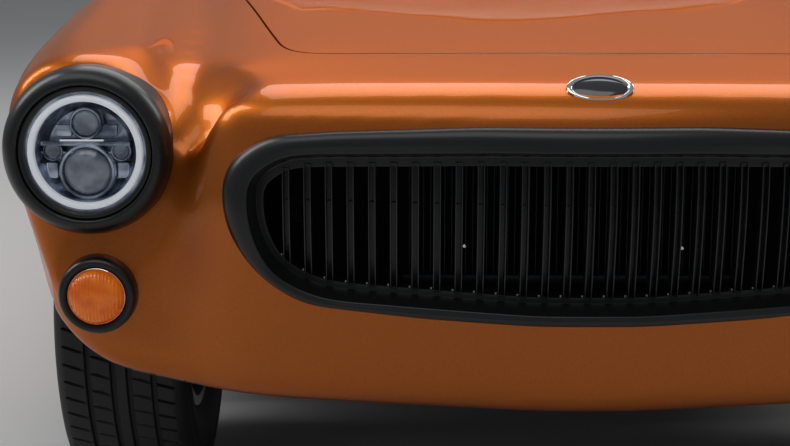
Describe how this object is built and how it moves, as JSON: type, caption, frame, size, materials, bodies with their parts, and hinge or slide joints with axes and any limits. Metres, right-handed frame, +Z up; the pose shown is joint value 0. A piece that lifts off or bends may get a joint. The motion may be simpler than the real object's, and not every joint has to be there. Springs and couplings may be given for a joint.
{
  "type": "sports coupe",
  "caption": "Two-door sports coupe with a long nose, round headlamps, wide ribbed grille, low fins and a fastback roofline; doors, lids, wheels and steering move.",
  "frame": {"origin": "centre of the bounding box on the ground, under the middle of the car", "axes": "+X to the car's left, +Y to its tail (the nose points along -Y), +Z up"},
  "size_m": [1.6792, 4.2603, 1.2753],
  "materials": {
    "paint": "gloss",
    "black_trim": "satin",
    "glass": "gloss",
    "lamp_glass": "gloss",
    "amber": "gloss",
    "red_lens": "gloss",
    "rubber": "matte",
    "alloy": "satin",
    "steel": "satin",
    "cast": "matte",
    "leather": "matte",
    "plastic": "matte"
  },
  "bodies": {
    "body": {"wing_left": "paint", "wing_right": "paint", "nose_panel": "paint", "scuttle": "paint", "quarter_left": "paint", "quarter_right": "paint", "roof": "paint", "tail_body": "paint", "grille_surround": "black_trim", "grille": "black_trim", "lamp_bezel_left": "black_trim", "lamp_bezel_right": "black_trim", "signal_ring_left": "black_trim", "signal_ring_right": "black_trim", "windscreen": "glass", "rear_window": "glass", "quarter_glass_left": "glass", "quarter_glass_right": "glass", "headlamp_left": "lamp_glass", "headlamp_right": "lamp_glass", "signal_lens_left": "amber", "signal_lens_right": "amber", "tail_lamp_left": "red_lens", "tail_lamp_right": "red_lens", "front_subframe": "steel", "rear_axle": "steel", "exhaust": "steel", "floor_pan": "black_trim", "engine": "cast", "radiator": "black_trim", "seat_left": "leather", "seat_right": "leather", "rear_bench": "leather", "dashboard": "plastic"},
    "door_left": {"door_left": "paint", "door_glass_left": "glass"},
    "door_right": {"door_right": "paint", "door_glass_right": "glass"},
    "bonnet": {"bonnet": "paint"},
    "boot_lid": {"boot_lid": "paint"},
    "knuckle_left": {"knuckle_left": "steel"},
    "knuckle_right": {"knuckle_right": "steel"},
    "wheel_fl": {"rim_fl": "alloy", "tyre_fl": "rubber"},
    "wheel_fr": {"rim_fr": "alloy", "tyre_fr": "rubber"},
    "wheel_rl": {"rim_rl": "alloy", "tyre_rl": "rubber"},
    "wheel_rr": {"rim_rr": "alloy", "tyre_rr": "rubber"},
    "steering_wheel": {"steering_wheel": "plastic"}
  },
  "joints": [
    {"name": "door_left", "type": "hinge", "parent": "body", "child": "door_left", "pos_m": [0.84, -0.654, 0.5], "axis": [0, 0, -1], "range_deg": [0, 65]},
    {"name": "door_right", "type": "hinge", "parent": "body", "child": "door_right", "pos_m": [-0.84, -0.654, 0.5], "axis": [0, 0, 1], "range_deg": [0, 65]},
    {"name": "bonnet", "type": "hinge", "parent": "body", "child": "bonnet", "pos_m": [0, -0.733, 0.864], "axis": [-1, 0, 0], "range_deg": [0, 55]},
    {"name": "boot_lid", "type": "hinge", "parent": "body", "child": "boot_lid", "pos_m": [0, 1.356, 0.905], "axis": [1, 0, 0], "range_deg": [0, 60]},
    {"name": "steer_left", "type": "hinge", "parent": "body", "child": "knuckle_left", "pos_m": [0.62, -1.441, 0.313], "axis": [0, 0, 1], "range_deg": [-30, 30]},
    {"name": "steer_right", "type": "hinge", "parent": "body", "child": "knuckle_right", "pos_m": [-0.62, -1.441, 0.313], "axis": [0, 0, 1], "range_deg": [-30, 30]},
    {"name": "steering_wheel", "type": "hinge", "parent": "body", "child": "steering_wheel", "pos_m": [0.365, -0.206, 0.8], "axis": [0, 0.9135, 0.4067], "range_deg": [-480, 480]},
    {"name": "wheel_fl", "type": "hinge", "parent": "knuckle_left", "child": "wheel_fl", "pos_m": [0.668, -1.441, 0.313], "axis": [1, 0, 0], "continuous": true},
    {"name": "wheel_fr", "type": "hinge", "parent": "knuckle_right", "child": "wheel_fr", "pos_m": [-0.668, -1.441, 0.313], "axis": [1, 0, 0], "continuous": true},
    {"name": "wheel_rl", "type": "hinge", "parent": "body", "child": "wheel_rl", "pos_m": [0.668, 1.009, 0.313], "axis": [1, 0, 0], "continuous": true},
    {"name": "wheel_rr", "type": "hinge", "parent": "body", "child": "wheel_rr", "pos_m": [-0.668, 1.009, 0.313], "axis": [1, 0, 0], "continuous": true}
  ],
  "couplings": [
    {"joint": "steer_right", "follows": "steer_left", "ratio": 1},
    {"joint": "steering_wheel", "follows": "steer_left", "ratio": 16}
  ]
}
